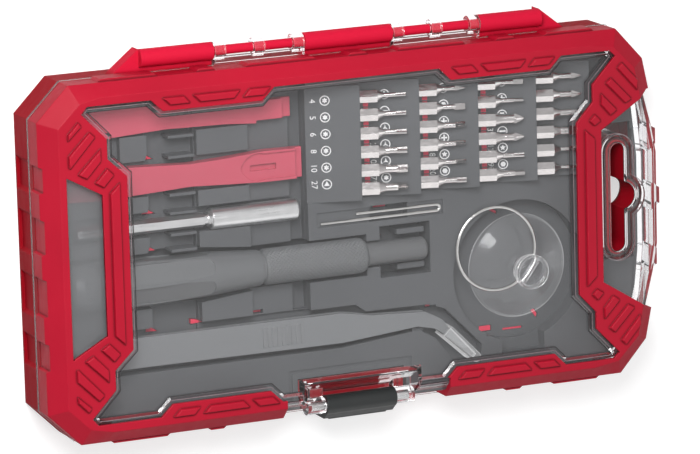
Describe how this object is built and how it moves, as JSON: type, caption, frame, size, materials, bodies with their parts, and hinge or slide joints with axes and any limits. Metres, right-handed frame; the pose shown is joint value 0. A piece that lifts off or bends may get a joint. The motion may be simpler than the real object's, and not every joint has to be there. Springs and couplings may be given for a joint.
{
  "type": "precision screwdriver set",
  "caption": "Hinged red case with a clear window lid over a charcoal tray of precision bits, a knurled driver, extension, pry tools, tweezers, pin and suction cup.",
  "frame": {"origin": "centre of the case's flat back face", "axes": "+X along the case towards the hang hole, +Y towards the hinge, +Z from the back face out of the lid"},
  "size_m": [0.2127, 0.1244, 0.0249],
  "materials": {
    "base_red": "fine matte moulded plastic",
    "frame_red": "satin moulded plastic",
    "pry_red": "satin moulded plastic",
    "tray_charcoal": "fine matte moulded plastic",
    "lid_clear": "clear moulded plastic",
    "cup_clear": "clear soft plastic",
    "cover_clear": "clear soft plastic",
    "latch_black": "satin moulded plastic",
    "driver_black": "matte anodised look",
    "nose_black": "satin black finish on steel",
    "tweezer_dark": "matte dark coating on steel",
    "extension_steel": "satin nickel plating",
    "bit_steel": "satin steel",
    "wire_steel": "bright wire",
    "pin_steel": "ground pin",
    "magnet": "nickel-plated magnet"
  },
  "bodies": {
    "base": {"base_shell": "base_red", "tool_tray": "tray_charcoal", "driver_handle": "driver_black", "driver_cap_pin": "pin_steel", "driver_nose": "nose_black", "driver_magnet": "magnet", "extension_shaft": "extension_steel", "extension_sleeve": "extension_steel", "extension_magnet": "magnet", "pry_tool_narrow": "pry_red", "pry_tool_wide": "pry_red", "tweezer_lower_arm": "tweezer_dark", "tweezer_tip_cover": "cover_clear", "sim_eject_pin": "wire_steel", "suction_cup": "cup_clear", "bit_six_lobe_4": "bit_steel", "bit_six_lobe_5": "bit_steel", "bit_six_lobe_6": "bit_steel", "bit_six_lobe_8": "bit_steel", "bit_six_lobe_10": "bit_steel", "bit_triangle_27": "bit_steel", "bit_cross_000": "bit_steel", "bit_flat_20": "bit_steel", "bit_tri_wing_1": "bit_steel", "bit_tri_wing_2": "bit_steel", "bit_tri_wing_0": "bit_steel", "bit_six_lobe_7": "bit_steel", "bit_flat_15": "bit_steel", "bit_hex_13": "bit_steel", "bit_cross_2": "bit_steel", "bit_cross_1": "bit_steel", "bit_five_lobe_8": "bit_steel", "bit_hex_20": "bit_steel", "bit_cross_00": "bit_steel", "bit_cross_0": "bit_steel", "bit_square_1": "bit_steel", "bit_flat_30": "bit_steel", "bit_five_lobe_12": "bit_steel", "bit_hex_9": "bit_steel"},
    "lid": {"lid_window": "lid_clear", "lid_frame": "frame_red", "latch_pin": "pin_steel"},
    "latch": {"latch": "latch_black"},
    "driver_cap": {"driver_cap": "driver_black"},
    "suction_ring": {"suction_ring": "wire_steel"},
    "tweezer_upper_arm": {"tweezer_upper_arm": "tweezer_dark"}
  },
  "joints": [
    {"name": "lid_hinge", "type": "hinge", "parent": "base", "child": "lid", "pos_m": [0, 0.0611, 0.012], "axis": [-1, 0, 0], "range_deg": [0, 180]},
    {"name": "latch_pivot", "type": "hinge", "parent": "lid", "child": "latch", "pos_m": [0.0007, -0.0541, 0.0195], "axis": [-1, 0, 0], "range_deg": [0, 75]},
    {"name": "driver_cap_spin", "type": "hinge", "parent": "base", "child": "driver_cap", "pos_m": [-0.088, -0.009, 0.012], "axis": [1, 0, 0], "continuous": true},
    {"name": "ring_swing", "type": "hinge", "parent": "base", "child": "suction_ring", "pos_m": [0.0623, -0.0196, 0.0155], "axis": [0.6022, 0.7983, 0], "range_deg": [0, 12]},
    {"name": "tweezer_squeeze", "type": "hinge", "parent": "base", "child": "tweezer_upper_arm", "pos_m": [-0.091, -0.0314, 0.0113], "axis": [0, 1, 0], "range_deg": [0, 0.8]}
  ]
}
